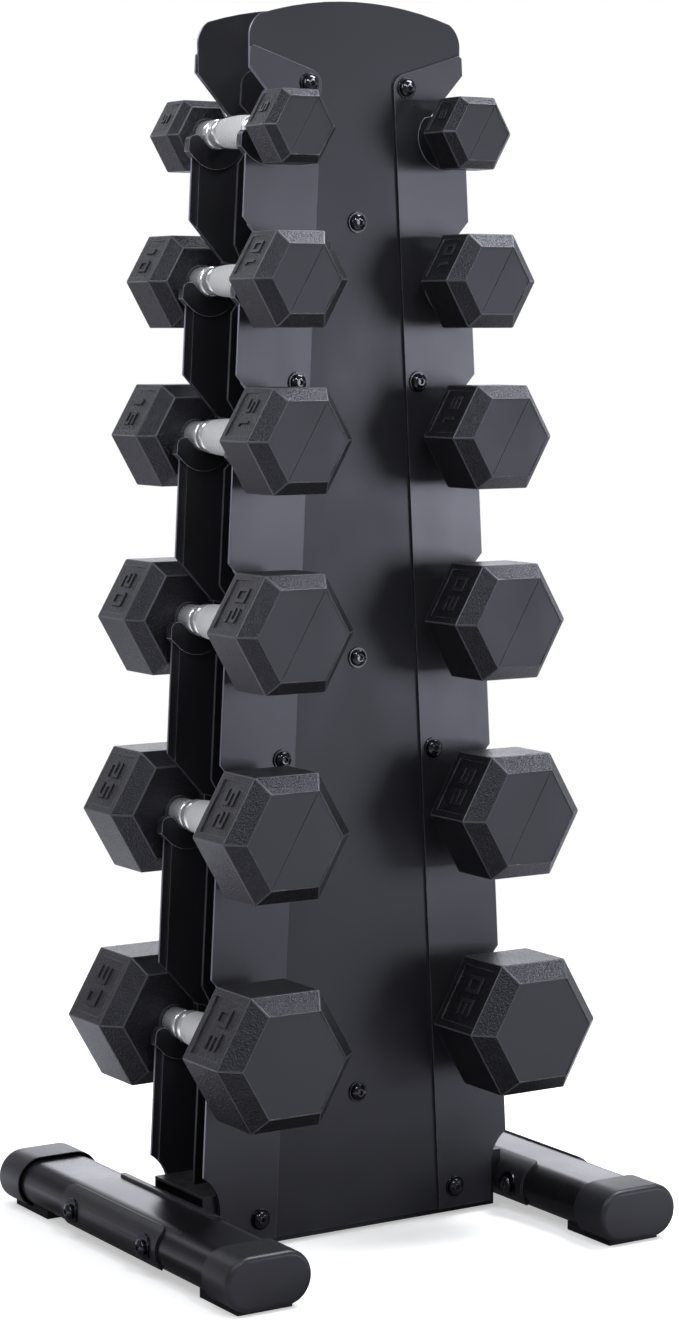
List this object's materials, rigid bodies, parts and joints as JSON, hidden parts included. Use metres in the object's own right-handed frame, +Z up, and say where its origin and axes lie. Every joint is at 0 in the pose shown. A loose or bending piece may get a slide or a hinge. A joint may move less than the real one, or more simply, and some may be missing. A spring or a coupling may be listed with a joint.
{
  "type": "dumbbell rack",
  "caption": "Tall narrow two-sided tower of notched steel sheet on two flat-oval feet, loaded with hexagonal rubber-coated dumbbells resting by their handles in plastic cradles",
  "frame": {"origin": "on the floor under the middle of the tower, halfway between the two feet and the two faces", "axes": "+Z up; +Y runs along the dumbbells from the front face to the rear face; +X runs across the faces to the right-hand column of dumbbells as seen from the front"},
  "size_m": [0.473, 0.429, 1.1],
  "materials": {
    "rack_paint": "satin charcoal powder coat",
    "upright_paint": "satin grey powder coat",
    "foot_gloss_paint": "gloss black enamel",
    "moulded_plastic": "fine-grained moulded black",
    "black_fasteners": "black oxide, lightly oiled",
    "washer_steel": "zinc plated",
    "pad_rubber": "matte",
    "handle_chrome": "knurled grip, satin chrome",
    "core_iron": "as cast, sealed inside the coat",
    "head_rubber": "moulded, smooth faces and pebbled chamfers"
  },
  "bodies": {
    "rack": {"front_panel": "rack_paint", "front_left_upright": "upright_paint", "front_right_upright": "upright_paint", "front_cradles": "moulded_plastic", "front_foot_caps": "moulded_plastic", "rear_panel": "rack_paint", "rear_left_upright": "upright_paint", "rear_right_upright": "upright_paint", "rear_cradles": "moulded_plastic", "rear_foot_caps": "moulded_plastic", "spine_plate": "rack_paint", "base_channel": "rack_paint", "spacer_bars": "rack_paint", "face_bolts": "black_fasteners", "face_washers": "washer_steel", "face_nuts": "black_fasteners", "left_foot_tube": "foot_gloss_paint", "right_foot_tube": "foot_gloss_paint", "outer_clamps": "foot_gloss_paint", "inner_clamps": "foot_gloss_paint", "clamp_bolts": "black_fasteners", "clamp_sleeve_nuts": "black_fasteners", "clamp_washers": "washer_steel", "foot_pads": "pad_rubber"},
    "dumbbell_5lb_left": {"handle_5lb_left": "handle_chrome", "cores_5lb_left": "core_iron", "coats_5lb_left": "head_rubber"},
    "dumbbell_5lb_right": {"handle_5lb_right": "handle_chrome", "cores_5lb_right": "core_iron", "coats_5lb_right": "head_rubber"},
    "dumbbell_10lb_left": {"handle_10lb_left": "handle_chrome", "cores_10lb_left": "core_iron", "coats_10lb_left": "head_rubber"},
    "dumbbell_10lb_right": {"handle_10lb_right": "handle_chrome", "cores_10lb_right": "core_iron", "coats_10lb_right": "head_rubber"},
    "dumbbell_15lb_left": {"handle_15lb_left": "handle_chrome", "cores_15lb_left": "core_iron", "coats_15lb_left": "head_rubber"},
    "dumbbell_15lb_right": {"handle_15lb_right": "handle_chrome", "cores_15lb_right": "core_iron", "coats_15lb_right": "head_rubber"},
    "dumbbell_20lb_left": {"handle_20lb_left": "handle_chrome", "cores_20lb_left": "core_iron", "coats_20lb_left": "head_rubber"},
    "dumbbell_20lb_right": {"handle_20lb_right": "handle_chrome", "cores_20lb_right": "core_iron", "coats_20lb_right": "head_rubber"},
    "dumbbell_25lb_left": {"handle_25lb_left": "handle_chrome", "cores_25lb_left": "core_iron", "coats_25lb_left": "head_rubber"},
    "dumbbell_25lb_right": {"handle_25lb_right": "handle_chrome", "cores_25lb_right": "core_iron", "coats_25lb_right": "head_rubber"},
    "dumbbell_30lb_left": {"handle_30lb_left": "handle_chrome", "cores_30lb_left": "core_iron", "coats_30lb_left": "head_rubber"},
    "dumbbell_30lb_right": {"handle_30lb_right": "handle_chrome", "cores_30lb_right": "core_iron", "coats_30lb_right": "head_rubber"}
  },
  "joints": [
    {"name": "lift_5lb_left", "type": "slide", "parent": "rack", "child": "dumbbell_5lb_left", "axis": [-0.7071, 0, 0.7071], "range_m": [0, 0.14]},
    {"name": "lift_5lb_right", "type": "slide", "parent": "rack", "child": "dumbbell_5lb_right", "axis": [0.7071, 0, 0.7071], "range_m": [0, 0.14]},
    {"name": "lift_10lb_left", "type": "slide", "parent": "rack", "child": "dumbbell_10lb_left", "axis": [-0.7071, 0, 0.7071], "range_m": [0, 0.14]},
    {"name": "lift_10lb_right", "type": "slide", "parent": "rack", "child": "dumbbell_10lb_right", "axis": [0.7071, 0, 0.7071], "range_m": [0, 0.14]},
    {"name": "lift_15lb_left", "type": "slide", "parent": "rack", "child": "dumbbell_15lb_left", "axis": [-0.7071, 0, 0.7071], "range_m": [0, 0.14]},
    {"name": "lift_15lb_right", "type": "slide", "parent": "rack", "child": "dumbbell_15lb_right", "axis": [0.7071, 0, 0.7071], "range_m": [0, 0.14]},
    {"name": "lift_20lb_left", "type": "slide", "parent": "rack", "child": "dumbbell_20lb_left", "axis": [-0.7071, 0, 0.7071], "range_m": [0, 0.14]},
    {"name": "lift_20lb_right", "type": "slide", "parent": "rack", "child": "dumbbell_20lb_right", "axis": [0.7071, 0, 0.7071], "range_m": [0, 0.14]},
    {"name": "lift_25lb_left", "type": "slide", "parent": "rack", "child": "dumbbell_25lb_left", "axis": [-0.7071, 0, 0.7071], "range_m": [0, 0.14]},
    {"name": "lift_25lb_right", "type": "slide", "parent": "rack", "child": "dumbbell_25lb_right", "axis": [0.7071, 0, 0.7071], "range_m": [0, 0.14]},
    {"name": "lift_30lb_left", "type": "slide", "parent": "rack", "child": "dumbbell_30lb_left", "axis": [-0.7071, 0, 0.7071], "range_m": [0, 0.14]},
    {"name": "lift_30lb_right", "type": "slide", "parent": "rack", "child": "dumbbell_30lb_right", "axis": [0.7071, 0, 0.7071], "range_m": [0, 0.14]}
  ]
}
